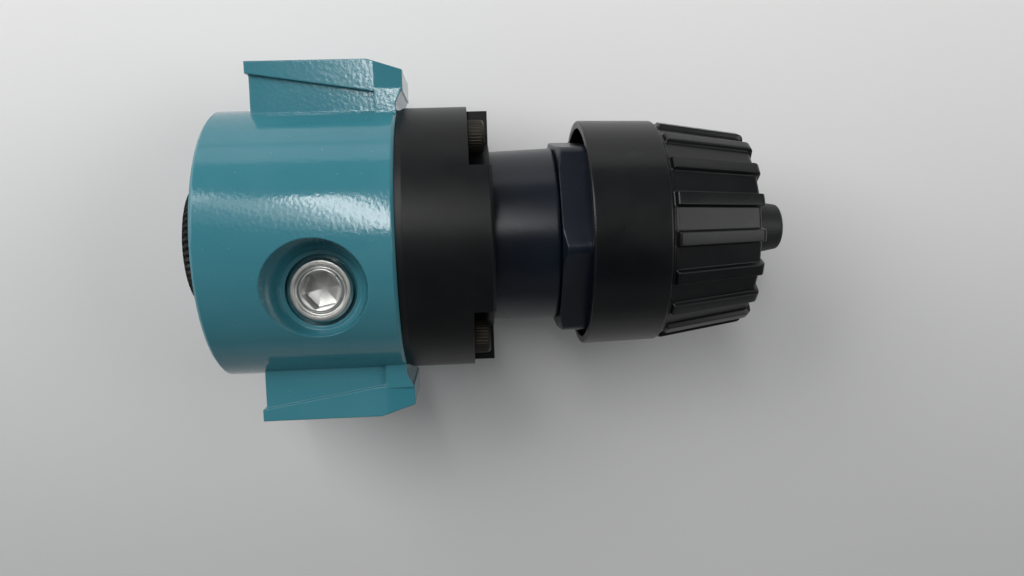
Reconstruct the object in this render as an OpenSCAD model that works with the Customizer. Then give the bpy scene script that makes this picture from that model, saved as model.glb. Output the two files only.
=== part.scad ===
// Relieving air pressure regulator, resting on its back, with a die-cast body between two port flanges.
//
// The main axis runs along +X from the bottom plug to the knob. The port axis runs along Y, with the inlet
// on -Y and the outlet on +Y. +Z is the side of the gauge port. The origin lies on the flat at the back,
// straight below the point where the two axes cross.
//
// Sub-parts are drawn about the main axis, with z measured from the rim at the bottom of the body,
// x towards the outlet and y towards the gauge port. place() then lays them along +X.

/* [Body] */
// distance between the two port faces
port_width = 76.2; // [66:0.1:94]
// height of the port axis above the bottom rim
port_height = 22.9; // [21:0.1:30]
// distance from the port axis to the clamp ring
port_to_ring = 16.1; // [13.2:0.1:22]
// length of a port flange, measured along the main axis
flange_len = 32.6; // [30:0.1:40]
// height of a port flange, measured from back to front
flange_h = 21.5; // [20:0.1:30]
// bore of the threaded inlet and outlet ports
port_d = 15; // [11:0.1:18.4]
// depth of the threaded ports
port_depth = 16; // [12:0.1:20]
// diameter of the valve chamber and of the thread on the bottom plug
chamber_d = 20; // [18:0.1:24]
// distance from the main axis to the flat at the back
back_h = 28; // [25:0.1:28.8]

/* [Gauge port] */
// sideways distance of the gauge port from the main axis
gauge_offset = 9.5; // [7.5:0.1:11.5]
// outside diameter of the gauge port plug
gauge_plug_d = 13.2; // [11:0.1:16]
// width across the flats of the socket in the plug
gauge_hex = 7; // [5:0.1:8]
// distance from the main axis to the floor of the gauge port recess
gauge_floor = 19; // [17:0.1:22]
// draft angle of the recess wall
gauge_draft = 15; // [5:1:20]

/* [Spring cage and clamp ring] */
// diameter of the spring cage where it leaves the clamp ring
neck_d = 37.6; // [34:0.1:46]
// growth in diameter of the cage from the clamp ring to the panel shoulder
neck_growth = 1; // [0:0.1:2]
// length of the cage between the clamp ring and the panel shoulder
neck_len = 14.2; // [11:0.1:20]
// diameter of the panel thread
thread_d = 30; // [25:0.5:33]
// length of the panel thread
thread_len = 23.5; // [20:0.1:30]
// wall of the cage inside the panel thread
cage_wall = 2; // [1.6:0.1:2.6]
// length of the clamp ring
ring_len = 19.3; // [16:0.1:24]
// depth of the pockets for the clamp screws
pocket_depth = 4.5; // [4.2:0.1:6]
// distance from the middle plane to the straight side of the pockets
pocket_side = 14.6; // [12:0.1:17]
// thread diameter of the clamp screws
screw_d = 4; // [3:0.5:5]
// angle between each clamp screw and the port axis
screw_angle = 30; // [26:1:34]

/* [Panel nut] */
// width across the flats of the panel nut
nut_af = 40; // [36:0.5:48]
// thickness of the panel nut
nut_h = 7; // [5:0.1:9]

/* [Knob] */
// wall of the knob skirt
skirt_wall = 1.7; // [1.2:0.1:2.6]
// how much the radius of the skirt grows towards its open rim
skirt_flare = 0.4; // [0:0.1:1]
// step down in radius from the skirt to the ribs
skirt_step = 0.3; // [0:0.1:1]
// length of the smooth skirt
skirt_len = 16.8; // [14:0.1:22]
// length of the ribbed grip
grip_len = 19.9; // [17:0.1:26]
// how much the radius shrinks along the ribbed grip
grip_taper = 3; // [1:0.1:4]
// number of ribs round the grip
rib_count = 18; // [12:1:24]
// height of the ribs
rib_h = 0.8; // [0.4:0.05:1.2]
// width of a rib as a share of the distance from rib to rib
rib_share = 0.37; // [0.2:0.01:0.6]
// diameter of the round cap where it leaves the end of the knob
cap_d = 13.8; // [10:0.1:14.4]
// length of the part of the cap that stands out
cap_len = 10.5; // [2:0.1:12]
// how much the radius of the cap shrinks along that length
cap_taper = 1.7; // [0:0.1:2.4]
// travel of the knob from the adjusting position in to the locked one
lock_travel = 3; // [2:0.1:4]

/* [Adjusting drive] */
// thread diameter of the adjusting screw
drive_d = 10; // [8:0.1:12]
// travel of the spring nut each way from its middle position
nut_travel = 3.75; // [2:0.05:4.5]
// wire diameter of the regulating spring
spring_wire = 3; // [2:0.1:3.6]
// number of turns of the regulating spring
spring_turns = 5; // [4:0.5:6]

/* [Valve] */
// bore of the valve seat
seat_bore = 7; // [5.8:0.1:8.4]
// diameter of the stem that the diaphragm pushes
stem_d = 2.8; // [2:0.1:3.4]
// opening stroke of the valve
valve_stroke = 1.5; // [1:0.1:1.8]
// wire diameter of the valve spring
valve_wire = 1.2; // [0.8:0.1:1.4]
// diameter of the head of the bottom plug
plug_head_d = 28; // [24:0.1:34]
// length of the head of the bottom plug
plug_head_len = 5.8; // [4:0.1:8]

/* [Hidden] */
$fn = 96;

// colours
teal = [0.37, 0.56, 0.60];
black = [0.10, 0.10, 0.11];
navy = [0.09, 0.10, 0.15];
zinc = [0.72, 0.72, 0.70];
brass = [0.78, 0.62, 0.32];
steel = [0.62, 0.63, 0.65];
rubber = [0.07, 0.07, 0.07];

// clearances and small features
slip = 0.05;                 // radial play of a part that turns or slides in a bore
gap = 0.25;                  // air between parts that only pass each other
edge = 0.6;                  // small chamfer on outer edges
cut = 1;                     // how far a cutting tool runs past the face it opens

// clamp screws, diaphragm and outside of the body, built up outwards from the spring cage
head_r = 0.875 * screw_d;
ring_web = 1.8;
screw_pitch_r = neck_d / 2 + gap + ring_web + head_r + 0.15;
body_r = screw_pitch_r + head_r + 1;
ring_r = body_r - 0.2;
diaphragm_r = screw_pitch_r - screw_d / 2 - 1;
ridge_r = ring_r - 1;
ridge_h = 8;

// stations along the main axis
body_len = port_height + port_to_ring;
bead_h = 1.5;                // thickness of the diaphragm's clamped rim
chamber_r = chamber_d / 2;
seat_top = port_height + 0.5;
seat_wall = 3.4;
seat_bottom = seat_top - seat_wall;
cavity_floor = body_len - 4.5;
cavity_r = diaphragm_r - 4;
passage_r = 3.8;             // passages from the ports to the valve chambers
outlet_z = seat_top + 6.2;   // stations of the two passages
inlet_z = seat_bottom - 4;
seat_rim = 2.5;              // width of the seat's collar in the wall between the chambers
aspirator_x = chamber_r + 4;
aspirator_r = 1.2;
screw_hole_depth = 10.5;
ring_end = body_len + ring_len;
flange_seat = body_len + 3.5;
shoulder = ring_end + neck_len;
neck_top_r = neck_d / 2 + neck_growth / 2;
cage_end = shoulder + thread_len;
end_wall = 3;
cage_ceiling = cage_end - end_wall;
spring_bore_r = thread_d / 2 - cage_wall;

// port flanges
flange_start = port_height - 15;
flange_end = flange_start + flange_len;
taper_start = flange_end - 7.3;
web_end = flange_end - 6;
flange_thin = 2.5;
flange_thick = 6.7;
taper_drop = 2.24;
web_step = 1.15;             // how far the flange stands proud of its web, back and front
web_h = flange_h - 2 * web_step;
web_root = body_r - 9;       // where the web starts, well inside the barrel

// gauge port
recess_floor_r = gauge_plug_d / 2 + 1.65;
spotface_r = gauge_plug_d / 2 + 0.75;
spotface_depth = 1.6;
gauge_thread_r = gauge_plug_d / 2 - 0.9;
gauge_hole_floor = 10;
seal_h = 0.6;

// diaphragm stack and valve
membrane = 1;
membrane_low = body_len - membrane;
stud_disc_h = 1.2;
stud_disc_r = cavity_r - 5.5;
stud_r = 3.9;
relief_r = 1;
plate_h = 2;
plate_low = membrane_low + membrane + 0.05;
plate_boss_h = 2.8;
stem_top = membrane_low - 0.05 - stud_disc_h - 0.05;
lip_h = 0.6;
lip_r = seat_bore / 2 + 0.9;
seat_flange_h = 0.8;
seat_flange = 4;              // width of the seat's flange, outwards from its bore
seat_groove = [0.9, 2.3];     // stations of the seal's groove, counted from the foot of the collar
seat_groove_depth = 1;
seal_top = seat_bottom - seat_flange_h - lip_h - 0.05;
disc_r = lip_r + 2.6;
disc_h = 3.2;
disc_low = seal_top - 0.6 - disc_h;
face_low = disc_low + disc_h - 1.2;   // floor of the recess for the rubber face
face_rim = 0.7;
tail_r = 3;
plug_top = disc_low - 6.8;
tail_low = plug_top - 5;
plug_head_gap = 0.4;
plug_seal_z = 3;

// adjusting drive
spring_low = plate_low + plate_h;
nut_mid_low = spring_low + 22.3;
nut_flange_h = 4;
nut_hub_h = 6;
spring_r = spring_bore_r - 1.1 - spring_wire / 2;
drive_r = drive_d / 2;
collar_h = 2.2;
washer_h = 1;
drive_collar_r = drive_r + 3.2;
journal_r = drive_r - slip;
drive_hex = 1.66 * journal_r;   // across flats, so that the corners pass through the journal's hole
guide_w = 4;
guide_depth = 1;

// knob, built up outwards from the panel nut that its skirt passes over
nut_bevel = 0.4;                // how far the corners of the nut are turned down
nut_corner_r = nut_af / 2 / cos(30) - nut_bevel;
skirt_in_r = nut_corner_r + 0.4;
skirt_r = skirt_in_r + skirt_wall;
rim_r = skirt_r + skirt_flare;
grip_r = skirt_r - skirt_step;
skirt_start = shoulder + 5.75;
grip_start = skirt_start + skirt_len;
grip_end = grip_start + grip_len;
core_r = grip_r - rib_h;        // floor between the ribs, where the grip starts
tip_r = grip_r - grip_taper;    // top of the ribs, where the grip ends
core_tip_r = tip_r - rib_h;
knob_end = grip_end - rib_h;    // end face of the knob
knob_wall = 2.2;
sleeve_in_r = thread_d / 2 + 1.1;
sleeve_start = cage_end - 5;
hub_low = cage_end + lock_travel + 1;
hub_shoulder = knob_end - 9;
pocket_r = drive_r + 2.2;
cap_base_h = 2;
retainer_h = 0.8;
retainer_low = hub_shoulder + 0.1;
retainer_head_h = knob_end - cap_base_h - lock_travel - 0.2 - retainer_low - retainer_h;
lock_z = cage_end - 1.4;        // station of the lock ring
lock_ring_wire = 1.2;
first_rib = 93.3;               // angle of one rib, counted from the outlet side

// Lays a sub-part along +X with the gauge port side up and the flat at the back on z = 0.
module place() {
    translate([-port_height, 0, back_h])
        rotate([90, 0, 90])
            children();
}

// A round part, or a ring if r_in is given, from station z0 to z1.
module turned(z0, z1, r, r_in = 0) {
    translate([0, 0, z0])
        difference() {
            cylinder(h = z1 - z0, r = r);
            if (r_in > 0)
                translate([0, 0, -cut])
                    cylinder(h = z1 - z0 + 2 * cut, r = r_in);
        }
}

// A ring with round section, as an O-ring has.
module o_ring(z, r_ring, r_section) {
    translate([0, 0, z])
        rotate_extrude()
            translate([r_ring, 0])
                circle(r = r_section, $fn = 32);
}

// A hexagonal prism from station z0 to z1, by its width across flats.
module hexagon(z0, z1, across) {
    translate([0, 0, z0])
        cylinder(h = z1 - z0, r = across / 2 / cos(30), $fn = 6);
}

// A coil spring with closed ends: a round wire carried along a helix. It lies flat for part of a turn at each
// end, where it only rises by its own thickness, and climbs evenly in between.
module coil(z0, z1, r_mean, r_wire, turns) {
    dead = 0.8;               // turns at each end that lie flat
    steps = 20;               // wire sections in a turn
    sides = 8;                // corners of a wire section
    count = round((turns + 2 * dead) * steps);
    climb = z1 - z0 - 4 * r_wire - 0.1;
    function flat_share(t) = min(t, dead) / dead + max(t - turns - dead, 0) / dead;
    function height(t) = r_wire * (1 + flat_share(t)) + climb * min(max(t - dead, 0), turns) / turns;
    points = [for (i = [0:count], j = [0:sides - 1])
        let (t = i / steps, b = 360 * j / sides, r = r_mean + r_wire * cos(b))
            [r * cos(360 * t), r * sin(360 * t), z0 + height(t) + r_wire * sin(b)]];
    walls = [for (i = [0:count - 1], j = [0:sides - 1])
        let (k = (j + 1) % sides)
            [i * sides + j, i * sides + k, (i + 1) * sides + k, (i + 1) * sides + j]];
    first = [for (j = [sides - 1:-1:0]) j];
    last = [for (j = [0:sides - 1]) count * sides + j];
    polyhedron(points = points, faces = concat(walls, [first, last]), convexity = 6);
}

// Repeats a sub-part at the four clamp screws.
module at_screws() {
    for (side = [-1, 1], face = [-1, 1])
        translate([side * screw_pitch_r * cos(screw_angle), face * screw_pitch_r * sin(screw_angle), 0])
            children();
}

// A plate that lies across the ports: an outline of [sideways, station] points, h thick from back to front.
module cross_plate(outline, h) {
    rotate([90, 0, 0])
        linear_extrude(height = h, center = true)
            polygon(outline);
}

// Everything in front of the flat at the back.
module keep_above_back() {
    intersection() {
        children();
        translate([-port_width, -back_h, -port_width])
            cube([2 * port_width, 4 * back_h, 5 * port_width]);
    }
}

// One port flange on the +x side: its plate, the web that carries it, and the block that ties it to the barrel
// under the clamp ring. It keeps clear of the ring.
module port_flange() {
    face = port_width / 2;
    root = face - flange_thick + edge;
    difference() {
        union() {
            flange_plate(face);
            cross_plate([[web_root, flange_start + edge], [face - flange_thin + edge, flange_start + edge],
                         [root, web_end + edge], [web_root, web_end + edge]], web_h);
            cross_plate([[web_root, web_end], [root, web_end], [root, flange_end],
                         [ring_r + gap, body_len], [web_root, body_len]], flange_h);
        }
        turned(body_len, flange_end + cut, ring_r + gap);
    }
}

// The plate of a port flange: thin at its foot, thick under the clamp ring, with its far corners cut back.
module flange_plate(face) {
    intersection() {
        cross_plate([[face - flange_thin, flange_start], [face, flange_start], [face, taper_start],
                     [face - taper_drop, flange_end], [face - flange_thick, flange_end],
                     [face - flange_thick, web_end]], flange_h);
        rotate([90, 0, 90])
            linear_extrude(height = port_width)
                polygon([[-flange_h / 2, flange_start], [flange_h / 2, flange_start], [flange_h / 2, web_end],
                         [flange_h / 2 - edge, flange_end], [edge - flange_h / 2, flange_end],
                         [-flange_h / 2, web_end]]);
    }
}

// Threaded port with a chamfered mouth, and the passage that joins it to its valve chamber, on the +x side.
module port_way(passage_z) {
    face = port_width / 2;
    translate([0, 0, port_height])
        rotate([0, 90, 0]) {
            translate([0, 0, face - port_depth])
                cylinder(h = port_depth + cut, d = port_d);
            translate([0, 0, face - edge])
                cylinder(h = edge + cut, r1 = port_d / 2, r2 = port_d / 2 + edge + cut);
        }
    translate([chamber_r - 3, 0, passage_z])
        rotate([0, 90, 0])
            cylinder(h = face - port_depth - chamber_r + 3 + edge, r = passage_r);
}

// Die-cast body: barrel, two port flanges, valve chambers, ports and gauge port.
module body() {
    color(teal) place() keep_above_back() difference() {
        union() {
            rotate_extrude()
                polygon([[0, 0], [body_r - edge, 0], [body_r, edge],
                         [body_r, body_len - edge], [body_r - edge, body_len], [0, body_len]]);
            for (side = [0, 1])
                mirror([side, 0, 0])
                    port_flange();
        }
        body_ways();
        at_screws()
            turned(body_len - screw_hole_depth, body_len + cut, screw_d / 2 + slip);
        translate([-gauge_offset, 0, port_height])
            rotate([-90, 0, 0])
                gauge_way();
    }
}

// The hollows of the body about its main axis and along its ports.
module body_ways() {
    turned(-cut, seat_bottom, chamber_r);
    turned(-cut, edge, chamber_r + edge);
    turned(seat_bottom - cut, seat_top + cut, seat_bore / 2 + seat_rim);
    turned(seat_top, cavity_floor + cut, chamber_r);
    turned(cavity_floor, body_len + cut, cavity_r);
    turned(body_len - bead_h, body_len + cut, diaphragm_r + slip);
    port_way(outlet_z);
    mirror([1, 0, 0])
        port_way(inlet_z);
    translate([aspirator_x, 0, 0])
        turned(outlet_z, cavity_floor + cut, aspirator_r);
}

// Recess, spot face, thread and pressure tap of the gauge port, along +z from the main axis plane.
module gauge_way() {
    rise = body_r + cut - gauge_floor;
    tap_r = 1.75;
    tap_floor = 4;
    tap_side = 7.5;           // distance of the tap from the main axis plane
    tap_drop = 3.6;           // distance of the tap below the top of the seat
    translate([0, 0, gauge_floor])
        cylinder(h = rise, r1 = recess_floor_r, r2 = recess_floor_r + rise * tan(gauge_draft));
    translate([0, 0, gauge_floor - spotface_depth])
        cylinder(h = spotface_depth + cut, r = spotface_r);
    translate([0, 0, gauge_hole_floor])
        cylinder(h = gauge_floor - gauge_hole_floor, r = gauge_thread_r);
    translate([gauge_offset - tap_side, seat_top - port_height - tap_drop, tap_floor])
        cylinder(h = gauge_hole_floor, r = tap_r);
}

// Bottom plug: knurled head, threaded shank, and the bore that guides the valve tail.
module bottom_plug() {
    head_r = plug_head_d / 2;
    head_low = -plug_head_gap - plug_head_len;
    knurls = 30;
    knurl_r = 1;
    knurl_depth = 0.55;
    dish_rim = 4;
    dish_depth = 2;
    socket_af = 8;
    socket_depth = 1.4;
    groove_h = 2;
    groove_depth = 1.4;
    packing_h = 2.4;
    packing_wall = 1.3;
    color(black) place() difference() {
        union() {
            rotate_extrude()
                polygon([[0, head_low], [head_r - 1, head_low], [head_r, head_low + 1],
                         [head_r, -plug_head_gap - edge], [head_r - edge, -plug_head_gap],
                         [0, -plug_head_gap]]);
            turned(-plug_head_gap - edge, plug_top, chamber_r - slip);
        }
        for (i = [0:knurls - 1])
            rotate(360 / knurls * i)
                translate([head_r + knurl_r - knurl_depth, 0, head_low - cut])
                    cylinder(h = plug_head_len + cut, r = knurl_r);
        turned(plug_seal_z - groove_h / 2, plug_seal_z + groove_h / 2,
               chamber_r + cut, chamber_r - groove_depth);
        turned(tail_low - valve_stroke - edge, plug_top + cut, tail_r + slip);
        turned(plug_top - packing_h, plug_top + cut, tail_r + packing_wall);
        turned(head_low - cut, head_low + dish_depth, head_r - dish_rim);
        hexagon(head_low, head_low + dish_depth + socket_depth, socket_af);
    }
}

module bottom_plug_seal() {
    color(rubber) place()
        o_ring(plug_seal_z, chamber_r - 0.73, 0.66);
}

// Socket plug that closes the gauge port.
module gauge_plug() {
    head_low = gauge_floor - spotface_depth + seal_h;
    face = gauge_floor + 1;
    low = gauge_hole_floor + 1.5;
    lead = 0.9;
    r = gauge_plug_d / 2;
    shank_r = gauge_thread_r - slip;
    rim = 0.5;                // chamfer and flat of the rim
    groove_w = 0.8;
    groove_depth = 0.35;
    groove_r = r - 2.6 * rim - groove_w / 2;
    hex_turn = -18;
    hex_depth = 5;
    color(zinc) place()
        translate([-gauge_offset, 0, port_height])
            rotate([-90, 0, 0])
                difference() {
                    rotate_extrude()
                        polygon([[0, low], [shank_r - lead, low], [shank_r, low + lead], [shank_r, head_low],
                                 [r, head_low], [r, face - rim], [r - rim, face], [groove_r + groove_w / 2, face],
                                 [groove_r, face - groove_depth], [groove_r - groove_w / 2, face], [0, face]]);
                    rotate(hex_turn)
                        hexagon(face - hex_depth, face + cut, gauge_hex);
                }
}

module gauge_plug_seal() {
    color(rubber) place()
        translate([-gauge_offset, 0, port_height])
            rotate([-90, 0, 0])
                turned(gauge_floor - spotface_depth, gauge_floor - spotface_depth + seal_h,
                       gauge_plug_d / 2 - 0.2, gauge_thread_r + 0.05);
}

// Brass seat pressed into the wall between the two valve chambers.
module valve_seat() {
    r = seat_bore / 2;
    flange_r = r + seat_flange;
    collar_r = r + seat_rim - slip;
    groove_r = r + seat_rim - seat_groove_depth;
    flange_low = seat_bottom - seat_flange_h;
    lip_draft = 0.3;
    color(brass) place()
        rotate_extrude()
            polygon([[r, flange_low - lip_h], [lip_r, flange_low - lip_h], [lip_r + lip_draft, flange_low],
                     [flange_r, flange_low], [flange_r, seat_bottom], [collar_r, seat_bottom],
                     [collar_r, seat_bottom + seat_groove[0]], [groove_r, seat_bottom + seat_groove[0]],
                     [groove_r, seat_bottom + seat_groove[1]], [collar_r, seat_bottom + seat_groove[1]],
                     [collar_r, seat_top], [r, seat_top]]);
}

module valve_seat_seal() {
    color(rubber) place()
        o_ring(seat_bottom + (seat_groove[0] + seat_groove[1]) / 2,
               seat_bore / 2 + seat_rim - seat_groove_depth / 2, 0.46);
}

// Valve disc with the tail that slides in the bottom plug, and a recess for its rubber face.
module valve_disc() {
    color(brass) place() difference() {
        union() {
            turned(disc_low, disc_low + disc_h, disc_r);
            turned(tail_low, disc_low + edge, tail_r);
        }
        turned(face_low, disc_low + disc_h + cut, disc_r - face_rim);
        turned(disc_low, disc_low + disc_h + cut, stem_d / 2);
    }
}

// Rubber face that closes on the lip of the seat.
module valve_disc_seal() {
    color(rubber) place()
        turned(face_low, seal_top, disc_r - face_rim - slip, stem_d / 2 + 0.02);
}

module valve_stem() {
    color(steel) place()
        turned(disc_low, stem_top, stem_d / 2 - 0.01);
}

module valve_tail_seal() {
    color(rubber) place()
        o_ring(plug_top - 1.2, tail_r + 0.65, 0.55);
}

module valve_spring() {
    color(steel) place()
        coil(plug_top + 0.02, disc_low - 0.02, tail_r + 0.5 + valve_wire / 2, valve_wire / 2, 3);
}

// Small tube that lets the flow draw air from below the diaphragm.
module aspirator_tube() {
    color(brass) place()
        translate([aspirator_x, 0, 0])
            turned(outlet_z + 0.6, cavity_floor + 1.4, aspirator_r - 0.01, aspirator_r / 2);
}

// Rubber diaphragm with a thick clamped rim and one round fold.
module diaphragm() {
    bead_in = cavity_r + 0.3;
    low = membrane_low;
    fold_in = stud_disc_r + 1.2;
    fold_out = bead_in - 0.6;
    fold_h = 0.9;
    function fold(r) = r < fold_in || r > fold_out ? 0
        : fold_h * (1 - cos(360 * (r - fold_in) / (fold_out - fold_in))) / 2;
    radii = [stud_r + slip, for (i = [0:12]) fold_in + (fold_out - fold_in) * i / 12, bead_in];
    lower = [for (r = radii) [r, low - fold(r)]];
    upper = [for (i = [len(radii) - 1:-1:0]) [radii[i], low + membrane - fold(radii[i])]];
    color(rubber) place()
        rotate_extrude()
            polygon(concat(lower, [[bead_in, body_len - bead_h], [diaphragm_r, body_len - bead_h],
                                   [diaphragm_r, body_len]], upper));
}

// Stud that clamps the middle of the diaphragm. Its hole vents the outlet when the valve stem drops away.
module diaphragm_stud() {
    top = plate_low + plate_h + plate_boss_h + 0.6;
    color(brass) place() difference() {
        union() {
            turned(membrane_low - 0.05 - stud_disc_h, membrane_low - 0.05, stud_disc_r);
            turned(membrane_low - 0.1, top, stud_r);
        }
        turned(membrane_low - 3, top + cut, relief_r);
    }
}

// Plate that passes the force of the regulating spring to the diaphragm.
module diaphragm_plate() {
    color(zinc) place() difference() {
        union() {
            turned(plate_low, plate_low + plate_h, cavity_r - 1.8);
            turned(plate_low + plate_h - edge, plate_low + plate_h + plate_boss_h,
                   spring_r - spring_wire / 2 - gap);
        }
        turned(plate_low - cut, plate_low + plate_h + plate_boss_h + cut, stud_r + 0.01);
    }
}

module regulating_spring() {
    color(steel) place()
        coil(spring_low + 0.02, nut_mid_low - 0.02, spring_r, spring_wire / 2, spring_turns);
}

// Clamp ring that holds the spring cage and the diaphragm on the body.
module clamp_ring() {
    pocket_low = ring_end - pocket_depth;
    color(black) place() keep_above_back() difference() {
        rotate_extrude()
            polygon([[neck_d / 2 + gap, body_len], [ring_r - 0.5, body_len], [ring_r, body_len + 1.4],
                     [ring_r, ring_end - edge], [ring_r - edge, ring_end], [neck_d / 2 + gap, ring_end]]);
        turned(body_len - cut, flange_seat, diaphragm_r + gap);
        at_screws()
            turned(body_len - cut, ring_end, screw_d / 2 + 0.15);
        for (side = [-1, 1])
            difference() {
                translate([side < 0 ? -body_r - cut : pocket_side, -body_r, pocket_low])
                    cube([body_r + cut - pocket_side, 2 * body_r, pocket_depth + cut]);
                turned(pocket_low - cut, ring_end + 2 * cut, neck_d / 2 + gap + ring_web - 0.2);
                intersection() {
                    turned(pocket_low - cut, ring_end + 2 * cut, ridge_r);
                    translate([-body_r, -ridge_h / 2, pocket_low - cut])
                        cube([2 * body_r, ridge_h, pocket_depth + 3 * cut]);
                }
            }
    }
}

// Four socket-head screws that hold the clamp ring.
module clamp_screws() {
    seat = ring_end - pocket_depth;
    head_h = 0.875 * screw_d;
    color(black) place()
        at_screws()
            difference() {
                union() {
                    turned(body_len - 9, seat + 0.1, screw_d / 2);
                    rotate_extrude()
                        polygon([[0, seat], [head_r, seat], [head_r, seat + head_h - 0.5],
                                 [head_r - 0.5, seat + head_h], [0, seat + head_h]]);
                }
                hexagon(seat + head_h * 0.45, seat + head_h + cut, 0.75 * screw_d);
            }
}

// Spring cage: foot under the clamp ring, neck, panel thread and the wall that carries the adjusting screw.
module spring_cage() {
    foot_in = cavity_r - 0.7;
    guide_low = nut_mid_low - nut_travel - 2;
    color(navy) place() difference() {
        rotate_extrude()
            polygon([[foot_in, body_len + 0.02], [diaphragm_r, body_len + 0.02], [diaphragm_r, flange_seat - 0.02],
                     [neck_d / 2, flange_seat - 0.02], [neck_d / 2, ring_end], [neck_top_r, shoulder - edge],
                     [neck_top_r - edge, shoulder], [thread_d / 2, shoulder], [thread_d / 2, cage_end - edge],
                     [thread_d / 2 - edge, cage_end], [drive_r + 0.05, cage_end], [drive_r + 0.05, cage_ceiling],
                     [spring_bore_r, cage_ceiling], [spring_bore_r, flange_seat + 12],
                     [foot_in, flange_seat + 8]]);
        for (side = [-1, 1])
            translate([side * (spring_bore_r + guide_depth / 2), 0, (guide_low + cage_ceiling) / 2])
                cube([guide_depth + 1, guide_w, cage_ceiling - guide_low], center = true);
        o_ring(lock_z, thread_d / 2, lock_ring_wire / 2 + 0.1);
    }
}

// Hexagonal nut on the panel thread.
module panel_nut() {
    low = shoulder + 0.05;
    bevel = 1.2;
    nut_turn = 97;
    color(black) place() difference() {
        intersection() {
            rotate(nut_turn)
                hexagon(low, low + nut_h, nut_af);
            rotate_extrude()
                polygon([[0, low], [nut_corner_r - bevel, low], [nut_corner_r, low + bevel * 0.5],
                         [nut_corner_r, low + nut_h - bevel * 0.5], [nut_corner_r - bevel, low + nut_h],
                         [0, low + nut_h]]);
        }
        turned(low - cut, low + nut_h + cut, thread_d / 2 + slip);
    }
}

// Nut that the adjusting screw drives up and down the cage to load the spring.
module spring_nut() {
    color(brass) place() difference() {
        union() {
            turned(nut_mid_low, nut_mid_low + nut_flange_h, spring_bore_r - gap);
            turned(nut_mid_low, nut_mid_low + nut_flange_h + nut_hub_h, drive_r + 2.6);
            for (side = [-1, 1])
                translate([side * (spring_bore_r + guide_depth / 2 - gap), 0, nut_mid_low + nut_flange_h / 2])
                    cube([guide_depth + 0.4, guide_w - 0.6, nut_flange_h], center = true);
        }
        turned(nut_mid_low - cut, nut_mid_low + nut_flange_h + nut_hub_h + cut, drive_r + slip);
    }
}

// Adjusting screw: thread, collar under the end wall of the cage, journal and hexagonal drive.
module adjusting_screw() {
    collar_top = cage_ceiling - washer_h - 0.1;
    tap_r = 2;
    color(steel) place() difference() {
        union() {
            turned(nut_mid_low - nut_travel - 1.6, collar_top - collar_h + edge, drive_r);
            turned(collar_top - collar_h, collar_top, drive_collar_r);
            turned(collar_top - edge, cage_end + 0.4, journal_r);
            hexagon(cage_end + 0.2, retainer_low - 0.05, drive_hex);
        }
        turned(retainer_low - 8, retainer_low + cut, tap_r);
    }
}

module thrust_washer() {
    color(brass) place()
        turned(cage_ceiling - washer_h - 0.05, cage_ceiling - 0.05, drive_collar_r + 0.6, drive_r + 0.15);
}

// Round wire ring that clicks into the knob's inner grooves in each of its two positions.
module lock_ring() {
    color(steel) place()
        o_ring(lock_z, thread_d / 2 + 0.05, lock_ring_wire / 2);
}

// Outside of the knob without its ribs, closed down to the axis.
module knob_core() {
    round_r = 1;
    rotate_extrude()
        polygon(concat(
            [[0, skirt_start], [rim_r - edge, skirt_start], [rim_r, skirt_start + edge],
             [skirt_r, grip_start - edge], [skirt_r - edge / 2, grip_start - edge / 4], [core_r, grip_start]],
            [for (a = [0:15:90])
                [core_tip_r - round_r * (1 - cos(a)), knob_end - round_r * (1 - sin(a))]],
            [[0, knob_end]]));
}

// The ribs: a shell over the core, cut into narrow sectors. They wrap over the edge of the end face.
module knob_ribs() {
    round_r = 1.2;
    ramp = 0.9;                 // length of the slope at the start of a rib
    rib_in_r = tip_r - 4;       // where the ribs end on the end face
    half = 180 / rib_count * rib_share;
    intersection() {
        rotate_extrude()
            polygon(concat(
                [[0, grip_start + 0.1], [core_r, grip_start + 0.1], [grip_r, grip_start + ramp]],
                [for (a = [0:15:90])
                    [tip_r - round_r * (1 - cos(a)), grip_end - round_r * (1 - sin(a))]],
                [[rib_in_r, grip_end], [rib_in_r - rib_h, knob_end - edge], [0, knob_end - edge]]));
        for (i = [0:rib_count - 1])
            rotate(first_rib + 360 / rib_count * i)
                linear_extrude(height = grip_end + cut)
                    polygon([for (r = [core_tip_r / 2, 2 * skirt_r], side = r < skirt_r ? [-1, 1] : [1, -1])
                        [r * cos(half), side * r * sin(half)]]);
    }
}

// The hollows of the knob: skirt, sleeve round the panel thread, and the spaces that keep its walls even.
module knob_hollows() {
    hub_r = pocket_r + knob_wall;
    sleeve_r = sleeve_in_r + knob_wall;
    inner_tip_r = core_tip_r - knob_wall;
    translate([0, 0, skirt_start])
        cylinder(h = sleeve_start - skirt_start, r1 = skirt_in_r + skirt_flare, r2 = skirt_in_r);
    turned(skirt_start - cut, hub_low, sleeve_in_r);
    turned(hub_low - cut, knob_end - knob_wall, sleeve_in_r, hub_r);
    rotate_extrude()
        polygon([[sleeve_r, sleeve_start - cut], [skirt_in_r, sleeve_start - cut],
                 [skirt_in_r, grip_start - knob_wall], [core_r - knob_wall, grip_start],
                 [max(sleeve_r + edge, inner_tip_r), knob_end - 2 * knob_wall],
                 [sleeve_r, knob_end - 2 * knob_wall]]);
    turned(hub_shoulder, knob_end + cut, pocket_r);
    hexagon(hub_low - cut, hub_shoulder + cut, drive_hex + 2 * slip);
    for (step = [0, lock_travel])
        o_ring(lock_z + step, sleeve_in_r, 0.3);
}

// Knob: smooth skirt over the nut, ribbed grip, and a hub on the hexagonal drive.
module knob() {
    color(black) place() difference() {
        union() {
            knob_core();
            knob_ribs();
        }
        knob_hollows();
    }
}

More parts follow.
